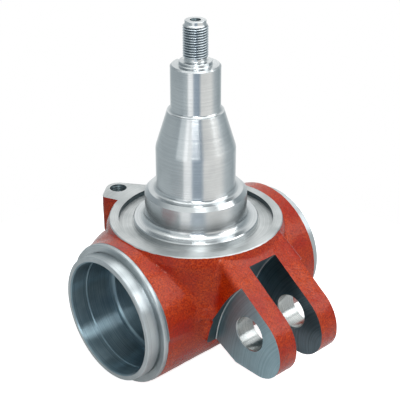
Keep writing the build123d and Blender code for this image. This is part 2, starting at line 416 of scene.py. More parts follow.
def spun(
    r: Array | float,
    height: Array | float,
    angles: Array,
    about: Axis = Axis.SPINDLE,
    centre: Point3 = (0, 0, 0),
) -> Array:
    """Points round an axis: x = r cos t, y = r sin t, z = height.

    Round the king pin's axis the points are turned so that (x, y, z) becomes (z, x, y).

    Args:
        r: Radii, which broadcast against the angles.
        height: Heights, which broadcast against the angles.
        angles: Angles t in radians.
        about: Axis of the points.
        centre: Point that the axis passes through.

    Returns:
        Points in an array of rings by points by 3.
    """
    points = np.stack(np.broadcast_arrays(r * np.cos(angles), r * np.sin(angles), height), axis=-1)
    return (points if about is Axis.SPINDLE else np.roll(points, 1, axis=-1)) + np.asarray(centre)


def lathe(
    name: str,
    rows: Sequence[Point],
    surface: Surface,
    about: Axis = Axis.SPINDLE,
    segments: int = 160,
    centre: Point3 = (0, 0, 0),
    bands: dict[int, Surface] | None = None,
) -> Object:
    """Closed turned body, with one ring of points for each row (radius, height).

    Args:
        name: Name of the object.
        rows: Profile from the bottom to the top of a solid body; it is closed by flat ends.
        surface: Finish of the faces.
        about: Axis of the body.
        segments: Number of facets round the axis.
        centre: Point that the axis passes through.
        bands: Finish of single bands, by the number of the row that they start at.

    Returns:
        The object.
    """
    profile = np.asarray(rows, dtype=float)
    rings = spun(profile[:, :1], profile[:, 1:], circle(segments), about, centre)
    body = ring_body(name, rings, surface)
    slots = np.full(len(body.data.polygons), surface.value)
    for row, other in (bands or {}).items():
        slots[row * segments:(row + 1) * segments] = other.value
    paint_faces(body.data, slots)
    return body


def ring_body(name: str, rings: Array, surface: Surface) -> Object:
    """Closed body through a stack of rings of points.

    Args:
        name: Name of the object.
        rings: Points in an array of rings by points by 3.
        surface: Finish of the faces.

    Returns:
        The object, with a flat face across each end.
    """
    count, around = rings.shape[:2]
    number = np.arange(count * around).reshape(count, around)
    after = np.roll(number, -1, axis=1)
    walls = np.stack([number[:-1], after[:-1], after[1:], number[1:]], axis=-1).reshape(-1, 4)
    faces: list[Sequence[int]] = walls.tolist()
    faces.append(number[0][::-1].tolist())
    faces.append(number[-1].tolist())
    return write_mesh(name, rings.reshape(-1, 3), faces, surface)


def combine(base: Object, tool: Object, how: Operation = Operation.CUT) -> None:
    """Cuts a tool body out of a base body, or joins it on, and removes the tool.

    Args:
        base: The body that is kept.
        tool: The body that is taken away or added.
        how: Whether the tool is taken away or added.
    """
    cut = base.modifiers.new(tool.name, "BOOLEAN")
    cut.operation = how.value
    cut.solver = "MANIFOLD"
    cut.object = tool
    graph = bpy.context.evaluated_depsgraph_get()
    result = bpy.data.meshes.new_from_object(base.evaluated_get(graph))
    base.modifiers.clear()
    old = base.data
    base.data = result
    bpy.data.meshes.remove(old)
    bpy.data.objects.remove(tool, do_unlink=True)


def mount(name: str) -> dict[str, Any]:
    """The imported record's mount of that name."""
    return next(m for m in frame["record"]["mounts"] if m["name"] == name)


def mount_radius(name: str) -> float:
    """Radius of a round mount in millimetres."""
    return float(mount(name)["dims"]["r_mm"])


# The forging


@dataclass
class Forging:
    """The raw forging, with its draft, its rounded roots and the texture of its primed skin."""

    barrel_r: float = 59.95
    barrel_end: float = 99.0
    face_z: float = FACE_Z
    stock: float = 2.5
    overrun: float = 10.0
    pad_foot: float = 8.0
    pad_lip_r: float = 78.9
    pad_lip_height: float = 2.5
    pad_waist_z: float = 19.0
    pad_r: float = 74.8
    pad_shoulder_z: float = 53.7
    pad_top_r: float = RIM_R
    lip_edge_r: float = 1.0
    slope: float = 35.0
    top_y: float = -78.0
    top_z: float = 50.0
    tip_y: float = -131.0
    bottom_z: float = -28.5
    bottom_y: float = -83.0
    root: Point = (-56.0, -15.5)
    inner_y: float = -40.0
    upper_nose: float = 33.0
    lower_nose: float = 24.0
    block_half: float = 36.0
    draft: float = 6.5
    edge_r: float = 3.6
    lug_hole: Point = LUG_HOLE
    lug_tip_r: float = 11.0
    lug_corner: Point = (-33.0, 78.5)
    lug_right: Point = (5.0, 66.6)
    lug_foot: Point = (-23.0, 55.0)
    lug_corner_r: float = 4.0
    lug_under_z: float = 26.7
    lug_seat_r: float = 9.5
    lug_edge_r: float = 1.6
    lug_over: float = 5.0
    gusset_foot_z: float = -8.0
    web_x: Point3 = (-84.0, -57.0, -18.0)
    web_r: float = 62.5
    web_set: Point = (12.0, -2.5)
    web_sink: float = 1.5
    web_easing: float = 0.35
    pad_root_r: float = 2.6
    block_root_r: float = 5.0
    lug_root_r: float = 8.0
    web_root_r: float = 9.0
    least_root_r: float = 0.8
    fade_low: float = 28.0
    fade_high: float = 50.0
    pocket_low: float = -16.0
    pocket_high: float = 0.0
    shoulder_low: float = 48.0
    shoulder_high: float = 57.0
    cell: float = 1.45
    swell: float = 0.12
    swell_cell: float = 17.0
    ripple_share: float = 0.5
    ripple_cell: float = 7.0
    dimple: float = 0.10
    dimple_cell: float = 2.9

    def top_line(self, y: float) -> float:
        """Height of the clevis block's sloping top."""
        return self.top_z + math.tan(math.radians(self.slope)) * (y - self.top_y)

    def block_side(self) -> list[Point]:
        """Outline of the clevis block.

        Returns:
            Corners in Y and Z, with both arcs of its nose.
        """
        lean = math.radians(self.slope)
        upper_y = self.tip_y + self.upper_nose
        upper_z = self.top_line(upper_y) - self.upper_nose / math.cos(lean)
        lower = (self.tip_y + self.lower_nose, self.bottom_z + self.lower_nose)
        ceiling = self.face_z + self.overrun
        shelf_y = self.top_y + (ceiling - self.top_z) / math.tan(lean)
        outline = [(self.inner_y, ceiling), (shelf_y, ceiling)]
        outline += arc((upper_y, upper_z), self.upper_nose, 90 + self.slope, 180)
        outline += arc(lower, self.lower_nose, 180, 270)
        outline += [(self.bottom_y, self.bottom_z), self.root, (self.inner_y, self.root[1])]
        return outline

    def lug_plan(self) -> list[Point]:
        """Outline of the stop lug seen from above.

        Returns:
            Corners in X and Y of the hull of four rounds.
        """
        steps = 24
        rounds = (
            (self.lug_hole, self.lug_tip_r),
            (self.lug_corner, self.lug_corner_r),
            (self.lug_right, self.lug_corner_r),
            (self.lug_foot, self.lug_corner_r),
        )
        last = 360 - 360 / steps
        return hull([point for centre, r in rounds for point in arc(centre, r, 0, last, steps)])

    def barrel(self, p: Array) -> Array:
        """Hub barrel: a cylinder about X that runs past the turned ends."""
        wall = np.hypot(p[:, 1], p[:, 2]) - self.barrel_r
        return np.maximum(wall, np.abs(p[:, 0]) - self.barrel_end)

    def pad(self, p: Array) -> Array:
        """Round pad under the turned face.

        Its radius follows the height from lip to shoulder, through corners that are smoothed over
        a window of heights. Above the face it leans in, so that the skin meets the face squarely.

        Args:
            p: Points, one row each, in millimetres.

        Returns:
            Signed distances.
        """
        samples = 106
        window = 11
        lean_in = 0.25
        # A leaning wall is nearer than its distance along the radius.
        steepness = 0.95
        lip_top = self.pad_foot + self.pad_lip_height
        heights = [self.pad_foot, lip_top, self.pad_waist_z, self.pad_shoulder_z, self.face_z]
        radii = [self.pad_lip_r, self.pad_lip_r, self.pad_r, self.pad_r, self.pad_top_r]
        smooth = np.linspace(heights[0], heights[-1], samples)
        raw = np.pad(np.interp(smooth, heights, radii), window // 2, mode="edge")
        kernel = np.hanning(window)
        eased = np.convolve(raw, kernel / kernel.sum(), mode="valid")
        z = p[:, 2]
        wall = np.hypot(p[:, 0], p[:, 1]) - np.interp(z, smooth, eased)
        wall += lean_in * np.maximum(z - self.face_z, 0)
        return intersect_round(wall * steepness, self.pad_foot - z, self.lip_edge_r)

    def block(self, p: Array) -> Array:
        """Clevis block: its side outline between two drafted flanks, with rounded edges.

        Args:
            p: Points, one row each, in millimetres.

        Returns:
            Signed distances.
        """
        lean = math.radians(self.draft)
        side = polygon_distance(p[:, 1], p[:, 2], self.block_side())
        flank = np.abs(p[:, 0]) - self.block_half - math.tan(lean) * (self.top_z - p[:, 2])
        return intersect_round(side, flank * math.cos(lean), self.edge_r)

    def lug(self, p: Array) -> Array:
        """Stop lug: its plan above a flat underside, on a gusset down to the barrel.

        Args:
            p: Points, one row each, in millimetres.

        Returns:
            Signed distances.
        """
        plan = polygon_distance(p[:, 0], p[:, 1], self.lug_plan())
        seat_y = self.lug_hole[1] - self.lug_seat_r
        tip_y = self.lug_hole[1] + self.lug_tip_r + self.lug_over
        ceiling = self.face_z + self.overrun
        sink = 2.0
        side = [
            (0.0, ceiling),
            (tip_y, ceiling),
            (tip_y, self.lug_under_z),
            (seat_y, self.lug_under_z),
            (self.barrel_r - sink, self.gusset_foot_z),
            (0.0, self.gusset_foot_z),
        ]
        return intersect_round(plan, polygon_distance(p[:, 1], p[:, 2], side), self.lug_edge_r)

    def web(self, p: Array) -> Array:
        """Web behind the pad: a round section whose centre and radius change along X.

        They follow a rise from 0 at both ends to 1 in between, which is a blend of a straight
        line and a smooth step.

        Args:
            p: Points, one row each, in millimetres.

        Returns:
            Signed distances.
        """
        # The wall leans along X, and the field closes steeply past both ends.
        steepness = 0.9
        end_steepness = 2.5
        x = np.clip(p[:, 0], self.web_x[0], self.web_x[2])
        rise = np.interp(x, self.web_x, (0.0, 1.0, 0.0))
        eased = rise * rise * (3 - 2 * rise)
        rise = eased * self.web_easing + rise * (1 - self.web_easing)
        end_r = self.barrel_r - self.web_sink
        radius = end_r + rise * (self.web_r - end_r)
        across = np.hypot(p[:, 1] - rise * self.web_set[0], p[:, 2] - rise * self.web_set[1])
        beyond = end_steepness * np.abs(p[:, 0] - x)
        return np.maximum(steepness * (across - radius), self.pad_foot - p[:, 2]) + beyond

    def distance(self, p: Array) -> Array:
        """The raw forging, with a fillet at each root, which fades out near the face.

        Args:
            p: Points, one row each, in millimetres.

        Returns:
            Signed distances.
        """
        z = p[:, 2]
        high = ramp(z, self.fade_low, self.fade_high)
        low = ramp(z, self.pocket_low, self.pocket_high)
        near_face = ramp(z, self.shoulder_low, self.shoulder_high)
        body = union_round(self.barrel(p), self.web(p), self.blend(self.web_root_r, high))
        body = union_round(body, self.pad(p), self.blend(self.pad_root_r, high))
        block_root = self.blend(self.block_root_r, np.maximum(near_face, 1 - low))
        body = union_round(body, self.block(p), block_root)
        body = union_round(body, self.lug(p), self.blend(self.lug_root_r, high))
        return np.maximum(body, z - self.face_z - self.stock)

    def blend(self, radius: float, fade: Array) -> Array:
        """Fillet radius at each point, from the full radius at a fade of 0 to the least at 1."""
        return radius + (self.least_root_r - radius) * fade

    def relief(self, p: Array) -> Array:
        """Height of the primed skin: broad swells of the forging and the dimples of the blasting.

        Args:
            p: Points, one row each, in millimetres.

        Returns:
            Heights along the normal, mostly just under zero.
        """
        broad = value_noise(p, self.swell_cell, seed=3)
        broad += self.ripple_share * value_noise(p, self.ripple_cell, seed=5)
        fine = value_noise(p, self.dimple_cell, seed=7)
        return self.swell * (broad - 1.0) + self.dimple * (fine - 1.0)

    def build(self) -> Object:
        """Makes the mesh of the raw forging.

        Returns:
            A closed object in the primer's finish.
        """
        cell = self.cell * 1.0
        margin = 4.0
        above = 3.0
        low = np.array([-self.barrel_end, self.tip_y, -self.barrel_r]) - margin
        far_y = self.lug_hole[1] + self.lug_tip_r + self.lug_over
        high = np.array([self.barrel_end + margin, far_y, self.face_z + self.stock + above])
        skin, quads = surface_mesh(self.distance, low, high, cell)
        normal = surface_normal(self.distance, skin)
        skin = skin + normal * self.relief(skin)[:, None]
        return write_mesh("forged_knuckle", skin, quads.tolist(), Surface.PRIMER)


# What is turned, bored, milled and drilled


def thread_wave(z: Array, angles: Array, pitch: float, gain: float, drop: float) -> Array:
    """Section of a right-hand thread, worked out along its helix.

    The wave is a triangle of (z / pitch - angle / full turn), stretched by the gain, lowered by
    the drop and cut off at 0 and 1, which leaves its crest and root flat.

    Args:
        z: Heights, one for each ring.
        angles: Angles of the points round a ring, in radians.
        pitch: Height of one turn.
        gain: Stretch of the triangle.
        drop: How far it is lowered.

    Returns:
        Values from 0 to 1 by ring and angle.
    """
    phase = (z[:, None] / pitch - angles / (2 * math.pi)) % 1
    return np.clip(gain * (1 - np.abs(2 * phase - 1)) - drop, 0, 1)


@dataclass
class HubEnds:
    """The turned spigots, shoulders and stepped bores at both ends of the barrel."""

    bearing_r: float = field(default_factory=lambda: mount_radius("near_bearing_seat"))
    seal_r: float = field(default_factory=lambda: mount_radius("near_seal_seat"))
    inner_r: float = field(default_factory=lambda: mount_radius("kingpin_bore"))
    end_x: float = 97.0
    shoulder_x: float = 86.0
    turned_x: float = 82.6
    far_turned_x: float = 85.1
    turned_r: float = 59.4
    rim_chamfer: float = 0.8
    spigot_r: float = 53.0
    spigot_edge: float = 0.7
    groove_width: float = 1.6
    groove_depth: float = 0.9
    seal_depth: float = 15.2
    bearing_length: float = 24.6
    relief_width: float = 2.4
    relief_depth: float = 0.9
    inner_chamfer: float = 1.6
    mouth_chamfer: float = 1.0
    mouth_over: float = 5.0
    stock_r: float = 75.0
    stock_under: float = 3.0
    stock_over: float = 9.0

    def outside(self, turned_x: float) -> list[Point]:
        """Profile of the metal that is left at one end.

        Args:
            turned_x: Start of the turned band.

        Returns:
            Rows (radius, distance from the middle), from the turned band to the end face.
        """
        root = self.shoulder_x + self.groove_width
        return [
            (self.turned_r, turned_x),
            (self.turned_r, self.shoulder_x - self.rim_chamfer),
            (self.turned_r - self.rim_chamfer, self.shoulder_x),
            (self.spigot_r - self.groove_depth, self.shoulder_x),
            (self.spigot_r - self.groove_depth, root),
            (self.spigot_r, root),
            (self.spigot_r, self.end_x - self.spigot_edge),
            (self.spigot_r - self.spigot_edge, self.end_x),
        ]

    def bore(self) -> list[Point]:
        """Profile of the bored hole.

        Returns:
            Rows (radius, distance from the middle), from the middle bore to the mouth.
        """
        seal_end = self.end_x - self.seal_depth
        bearing_end = seal_end - self.bearing_length
        return [
            (self.inner_r, bearing_end - self.inner_chamfer),
            (self.inner_r + self.inner_chamfer, bearing_end),
            (self.bearing_r + self.relief_depth, bearing_end),
            (self.bearing_r + self.relief_depth, bearing_end + self.relief_width),
            (self.bearing_r, bearing_end + self.relief_width),
            (self.bearing_r, seal_end - self.seal_r + self.bearing_r),
            (self.seal_r, seal_end),
            (self.seal_r, self.end_x - self.mouth_chamfer),
            (self.seal_r + self.mouth_chamfer, self.end_x),
            (self.seal_r + self.mouth_chamfer, self.end_x + self.mouth_over),
        ]

    def cut(self, body: Object) -> None:
        """Turns both ends of the barrel and bores it through.

        Args:
            body: The forging.
        """
        half = self.bore()
        rows = [(r, -x) for r, x in reversed(half)] + half
        combine(body, lathe("king_pin_bore", rows, Surface.BORED, Axis.KING_PIN, segments=192))
        for side in (1, -1):
            combine(body, self.waste(side))

    def waste(self, side: int) -> Object:
        """Metal that turning takes off one end, as a closed ring round the finished profile.

        Args:
            side: 1 for the end towards +X, -1 for the other.

        Returns:
            The ring, with the end face in a finish of its own.
        """
        upright = 0.9
        turned_x = self.far_turned_x if side > 0 else self.turned_x
        low_r = self.inner_r - self.stock_under
        beyond = self.end_x + self.stock_over
        loop = self.outside(turned_x) + [(low_r, self.end_x), (low_r, beyond)]
        loop += [(self.stock_r, beyond), (self.stock_r, turned_x)]
        loop = [(r, side * x) for r, x in loop][::side]
        ring = closed_ring("turned_end", loop, Surface.HUB_TURNED)
        normals = np.zeros(3 * len(ring.data.polygons))
        centres = np.zeros_like(normals)
        ring.data.polygons.foreach_get("normal", normals)
        ring.data.polygons.foreach_get("center", centres)
        at_end = np.abs(centres[::3]) > self.end_x - self.mouth_chamfer
        end_face = (np.abs(normals[::3]) > upright) & at_end
        slots = np.where(end_face, Surface.HUB_FACED.value, Surface.HUB_TURNED.value)
        paint_faces(ring.data, slots)
        return ring


def closed_ring(name: str, loop: Sequence[Point], surface: Surface, segments: int = 192) -> Object:
    """Ring with a closed section, carried round the X axis.

    The sign of the section's area tells which way its outline runs, and so which way its faces
    have to turn.

    Args:
        name: Name of the object.
        loop: Section as (radius, height), in order round its outline.
        surface: Finish of the faces.
        segments: Number of facets round the axis.

    Returns:
        The object.
    """
    section = np.asarray(loop, dtype=float)
    rings = spun(section[:, :1], section[:, 1:], circle(segments), Axis.KING_PIN)
    number = np.arange(len(section) * segments).reshape(-1, segments)
    after = np.roll(number, -1, axis=1)
    corners = [number, after, np.roll(after, -1, axis=0), np.roll(number, -1, axis=0)]
    faces = np.stack(corners, axis=-1).reshape(-1, 4)
    r, height = section.T
    if np.dot(r, np.roll(height, -1)) < np.dot(height, np.roll(r, -1)):
        faces = faces[:, ::-1]
    return write_mesh(name, rings.reshape(-1, 3), faces.tolist(), surface)


@dataclass
class Clevis:
    """The milled slot and outer faces of the link clevis, and its reamed pin holes."""

    pin_r: float = field(default_factory=lambda: mount_radius("link_pin_bore"))
    pin_y: float = -97.4
    pin_z: float = 5.6
    slot_half: float = 14.5
    ear_outer: float = 32.7
    slot_cutter_r: float = 94.0
    slot_cutter: Point = (-145.3, -15.4)
    face_cutter_r: float = 107.0
    face_cutter: Point = (-166.8, -29.7)
    hole_chamfer: float = 0.6
    hole_under: float = 3.0
    hole_over: float = 12.0
    stock_x: float = 70.0
    corner: float = 0.5

    def disc(
        self, centre: Point, radius: float, span: Point, flat: Surface, wall: Surface
    ) -> Object:
        """Path of a disc cutter on an axis parallel to X, with its corners broken.

        Args:
            centre: Y and Z of the cutter's axis.
            radius: Radius of the cutter.
            span: X of its two sides.
            flat: Finish that its sides leave.
            wall: Finish that its rim leaves.

        Returns:
            The cutter.
        """
        c = self.corner
        low, high = span
        rows = [(radius - c, low), (radius, low + c), (radius, high - c), (radius - c, high)]
        bands = {0: Surface.FACED, 1: wall, 2: Surface.FACED}
        return lathe("disc_cutter", rows, flat, Axis.KING_PIN, 256, (0, *centre), bands)

    def cut(self, body: Object) -> None:
        """Mills the slot and both outer faces and reams the pin hole.

        Args:
            body: The forging.
        """
        span = (-self.slot_half, self.slot_half)
        centre, radius = self.slot_cutter, self.slot_cutter_r
        # The slot's inner faces take the darker finish: painted shade between the ears.
        combine(body, self.disc(centre, radius, span, Surface.SHADED_SLOT, Surface.MILLED))
        centre, radius = self.face_cutter, self.face_cutter_r
        for span in ((self.ear_outer, self.stock_x), (-self.stock_x, -self.ear_outer)):
            # The cutter's rim leaves a step wall in the dark finish: painted shade along the step.
            combine(body, self.disc(centre, radius, span, Surface.MILLED, Surface.SHADED_RECESS))
        wide = self.pin_r + self.hole_chamfer
        outer, inner, c = self.ear_outer, self.slot_half, self.hole_chamfer
        half = [
            (wide, inner - self.hole_under),
            (wide, inner),
            (self.pin_r, inner + c),
            (self.pin_r, outer - c),
            (wide, outer),
            (wide, outer + self.hole_over),
        ]
        for side in (1, -1):
            rows = [(r, side * x) for r, x in half][::side]
            centre = (0, self.pin_y, self.pin_z)
            hole = lathe("pin_hole", rows, Surface.REAMED, Axis.KING_PIN, 96, centre)
            combine(body, hole)


@dataclass
class TurnedFace:
    """The faced disc round the spindle, its seal groove, and the tapped hole in the stop lug."""

    face_z: float = FACE_Z
    rim_r: float = RIM_R
    rim_chamfer: float = 0.7
    lug_start: float = 64.0
    lug_end: float = 124.0
    groove_outer: float = 64.4
    groove_inner: float = RING_R
    groove_depth: float = 4.4
    plug_depth: float = 9.0
    stock_r: float = 130.0
    stock_height: float = 20.0
    lug_hole: Point = LUG_HOLE
    lug_hole_r: float = field(default_factory=lambda: mount_radius("stop_screw_hole"))
    thread_r: float = 7.0
    thread_pitch: float = 2.0
    hole_chamfer: float = 1.2
    hole_over: float = 5.0
    under_z: float = 16.0

    def cut(self, body: Object) -> None:
        """Faces the forging, turns the groove and the seat of the spindle, and taps the lug.

        Args:
            body: The forging.
        """
        floor = self.face_z - self.groove_depth
        rows = [
            (self.groove_inner, self.face_z - self.plug_depth),
            (self.groove_inner, floor),
            (self.groove_outer, floor),
            (self.groove_outer, self.face_z),
            (self.stock_r, self.face_z),
            (self.stock_r, self.face_z + self.stock_height),
        ]
        # The groove's walls take the dark finish: painted shade inside the groove.
        walls = {0: Surface.SHADED_RECESS, 2: Surface.SHADED_RECESS}
        facing = lathe("facing_cut", rows, Surface.FACED, segments=256, bands=walls)
        combine(body, facing)
        combine(body, self.rim())
        combine(body, self.tap())

    def rim(self) -> Object:
        """Cutter for the chamfer along the rim, which stops on both sides of the stop lug.

        Returns:
            The cutter, a bar of triangular section on an arc.
        """
        over = 0.1
        segments = 220
        section = np.array([
            (self.rim_r - self.rim_chamfer - over, self.face_z + over),
            (self.rim_r + over, self.face_z + over),
            (self.rim_r + over, self.face_z - self.rim_chamfer - over),
        ])
        angles = np.radians(np.linspace(self.lug_end, 360 + self.lug_start, segments))
        bar = spun(section[:, 0], section[:, 1], angles[:, None])
        return ring_body("rim_chamfer", bar, Surface.FACED)

    def tap(self) -> Object:
        """Tapped hole with a chamfered mouth, its radius following the thread's helix.

        Returns:
            The cutter.
        """
        segments = 48
        per_pitch = 8
        land = 1.0
        core = self.lug_hole_r
        heights = np.arange(self.under_z, self.face_z - land, self.thread_pitch / per_pitch)
        angles = circle(segments)
        wave = thread_wave(heights, angles, self.thread_pitch, gain=1.25, drop=0.1)
        opening = core + np.maximum(heights - (self.face_z - self.hole_chamfer), 0)
        r = np.maximum(core + (self.thread_r - core) * wave, opening[:, None])
        heights = np.append(heights, [self.face_z, self.face_z + self.hole_over])
        r = np.vstack([r, np.full((2, segments), core + self.hole_chamfer)])
        rings = spun(r, heights[:, None], angles, centre=(*self.lug_hole, 0))
        # The hole's threads take the dark finish: painted shade inside the hole.
        return ring_body("tapped_hole", rings, Surface.SHADED_RECESS)


# The spindle


@dataclass
class Spindle:
    """The turned spindle: ring, collar, two bearing seats, taper, neck and threaded end."""

    seat_r: float = field(default_factory=lambda: mount_radius("large_bearing_seat"))
    small_r: float = field(default_factory=lambda: mount_radius("small_bearing_seat"))
    collar_r: float = field(default_factory=lambda: mount_radius("seal_collar"))
    thread_r: float = field(default_factory=lambda: mount_radius("nut_thread"))
    face_z: float = FACE_Z
    plug_z: float = 53.0
    ring_r: float = RING_R
    ring_proud: float = 0.6
    ring_chamfer: float = 0.8
    collar_foot: float = 5.5
    collar_top: float = 87.2
    collar_chamfer: float = 3.2
    seat_foot: float = 3.2
    seat_top: float = 123.5
    blend_r: float = 14.0
    taper_r: float = 22.8
    taper_top: float = 154.6
    small_foot: float = 2.2
    small_top: float = 192.2
    small_chamfer: float = 1.3
    boss_r: float = 13.2
    boss_height: float = 3.0
    boss_foot: float = 0.6
    boss_edge: float = 0.4
    neck_r: float = 8.7
    neck_length: float = 3.0
    neck_fillet: float = 1.2
    thread_length: float = 24.4
    pitch: float = 2.0
    thread_depth: float = 1.15
    thread_run_in: float = 0.6
    tip_r: float = 8.4
    tip_length: float = 2.8
    tip_edge: float = 0.3
    key_width: float = 5.0
    key_floor: float = 16.4
    key_length: float = 9.0
    key_over: float = 3.0
    centre_r: float = 2.6
    centre_mouth: float = 4.3
    centre_depth: float = 9.0
    centre_point: float = 1.5
    segments: int = 160

    def lower_profile(self) -> list[Point]:
        """Profile from the foot to the neck, with arcs in the corners.

        Returns:
            Rows (radius, height) from the bottom to the top.
        """
        ring_top = self.face_z + self.ring_proud
        lean = math.degrees(math.atan2(self.seat_r - self.taper_r, self.taper_top - self.seat_top))
        reach = self.blend_r * math.tan(math.radians(lean) / 2)
        boss_top = self.small_top + self.boss_height
        rows = [
            (self.ring_r, self.plug_z),
            (self.ring_r, ring_top - self.ring_chamfer),
            (self.ring_r - self.ring_chamfer, ring_top),
        ]
        foot = (self.collar_r + self.collar_foot, ring_top + self.collar_foot)
        rows += arc(foot, self.collar_foot, 270, 180, steps=9)
        rows += [
            (self.collar_r, self.collar_top - self.collar_chamfer),
            (self.collar_r - self.collar_chamfer, self.collar_top),
        ]
        foot = (self.seat_r + self.seat_foot, self.collar_top + self.seat_foot)
        rows += arc(foot, self.seat_foot, 270, 180, steps=7)
        centre = (self.seat_r - self.blend_r, self.seat_top - reach)
        rows += arc(centre, self.blend_r, 0, lean, steps=5)
        rows += [(self.taper_r, self.taper_top)]
        foot = (self.small_r + self.small_foot, self.taper_top + self.small_foot)
        rows += arc(foot, self.small_foot, 270, 180, steps=6)
        rows += [
            (self.small_r, self.small_top - self.small_chamfer),
            (self.small_r - self.small_chamfer, self.small_top),
            (self.boss_r + self.boss_foot, self.small_top),
            (self.boss_r, self.small_top + self.boss_foot),
            (self.boss_r, boss_top - self.boss_edge),
            (self.boss_r - self.boss_edge, boss_top),
        ]
        foot = (self.neck_r + self.neck_fillet, boss_top + self.neck_fillet)
        return rows + arc(foot, self.neck_fillet, 270, 180, steps=5)

    def thread_start(self) -> float:
        """Height at which the thread starts."""
        return self.small_top + self.boss_height + self.neck_length

    def thread_end(self) -> float:
        """Height at which the thread ends."""
        return self.thread_start() + self.thread_length

    def thread_rings(self) -> tuple[Array, Array]:
        """Heights and radii of the threaded end.

        The radius is the outer radius less the depth times the thread's wave, and it fades into
        the neck and the tip's cone.

        Returns:
            Heights of the rings and radii by ring and angle.
        """
        per_pitch = 10
        start = self.thread_start() - self.thread_run_in
        end = self.thread_end()
        under = 0.2
        z = np.arange(start, end + self.thread_r - self.tip_r, self.pitch / per_pitch)
        wave = thread_wave(z, circle(self.segments), self.pitch, gain=1.3, drop=0.12)
        run_in = self.neck_r + np.maximum(z - start, 0)
        run_out = self.thread_r - np.maximum(z - end, 0)
        limit = np.minimum(run_in, run_out)[:, None]
        r = np.minimum(self.thread_r - self.thread_depth * wave, limit)
        return z, np.maximum(r, self.tip_r - under)

    def build(self) -> Object:
        """Makes the closed spindle, with its keyway and lathe centre cut.

        Returns:
            The object, in the turned finish but for its thread.
        """
        # Rings closer than this would leave slivers between them.
        gap = 0.1
        lower = np.asarray(self.lower_profile())
        z, radii = self.thread_rings()
        keep = z > lower[-1, 1] + gap
        z, radii = z[keep], radii[keep]
        tip = self.thread_end() + self.thread_r - self.tip_r + self.tip_length
        tops = np.array([
            (self.tip_r, z[-1] + 1.5 * gap),
            (self.tip_r, tip - self.tip_edge),
            (self.tip_r - self.tip_edge, tip),
        ])
        spread = np.ones(self.segments)
        r = np.vstack([lower[:, :1] * spread, radii, tops[:, :1] * spread])
        height = np.concatenate([lower[:, 1], z, tops[:, 1]])[:, None]
        body = ring_body("turned_spindle", spun(r, height, circle(self.segments)), Surface.TURNED)
        slots = np.full(len(body.data.polygons), Surface.TURNED.value)
        first = (len(lower) - 1) * self.segments
        last = first + (np.searchsorted(z, self.thread_end()) + 1) * self.segments
        first += np.searchsorted(z, self.thread_start()) * self.segments
        slots[first:last] = Surface.THREADED.value
        paint_faces(body.data, slots)
        combine(body, self.keyway())
        combine(body, self.lathe_centre(tip))
        return body

    def keyway(self) -> Object:
        """Bar in the place of the keyway, open at the seat's end and rounded at its lower end.

        Returns:
            The cutter.
        """
        half = self.key_width / 2
        low = self.small_top - self.key_length
        above = self.small_top + 2 * self.key_over
        plan = [(half, above), (-half, above), *arc((0, low + half), half, 180, 360, 9)]
        depths = (self.small_r + self.key_over, self.key_floor)
        layers = [[(x, y, z) for x, z in plan] for y in depths]
        # The keyway's walls take the dark finish: painted shade inside the keyway.
        return ring_body("keyway_cutter", np.array(layers), Surface.SHADED_RECESS)

    def lathe_centre(self, tip: float) -> Object:
        """Centre drill: a pilot hole with a 60 degree mouth.

        Args:
            tip: Height of the spindle's tip.

        Returns:
            The cutter.
        """
        point_r = 0.3
        above = 3.0
        mouth = (self.centre_mouth - self.centre_r) / math.tan(math.radians(60 / 2))
        floor = tip - self.centre_depth
        rows = [
            (point_r, floor - self.centre_point),
            (self.centre_r, floor),
            (self.centre_r, tip - mouth),
            (self.centre_mouth, tip),
            (self.centre_mouth, tip + above),
        ]
        # The centre hole takes the dark finish: painted shade inside the hole.
        return lathe("centre_drill", rows, Surface.SHADED_RECESS, segments=32)


# Finishes


def linear(code: str) -> tuple[float, float, float, float]:
    """Linear colour of an sRGB hex value.

    Args:
        code: The value, such as #B4B7B8.

    Returns:
        Red, green, blue and alpha.
    """
    parts = [int(code[i:i + 2], 16) / 255 for i in (1, 3, 5)]
    r, g, b = [c / 12.92 if c <= 0.04045 else ((c + 0.055) / 1.055) ** 2.4 for c in parts]
    return (r, g, b, 1.0)


def add(
    tree: bpy.types.NodeTree, kind: str, links: dict[Any, Any] | None = None, **settings: Any
) -> bpy.types.Node:
    """Adds a node to a tree.

    Args:
        tree: The node tree.
        kind: Blender's name for the node type.
        links: Input name or number to a socket to link or a value to set.
        settings: Properties of the node.

    Returns:
        The node.
    """
    new = tree.nodes.new(kind)
    for key, value in settings.items():
        setattr(new, key, value)
    for key, value in (links or {}).items():
        if isinstance(value, bpy.types.NodeSocket):
            tree.links.new(value, new.inputs[key])
        else:
            new.inputs[key].default_value = value
    return new


def start_material(name: str) -> tuple[bpy.types.Material, bpy.types.NodeTree, bpy.types.Node]:
    """Starts a material.

    Args:
        name: Name of the material.

    Returns:
        The material, its emptied tree and the output node in it.
    """
    material = bpy.data.materials.new(name)
    material.use_nodes = True
    material.node_tree.nodes.clear()
    return material, material.node_tree, add(material.node_tree, "ShaderNodeOutputMaterial")


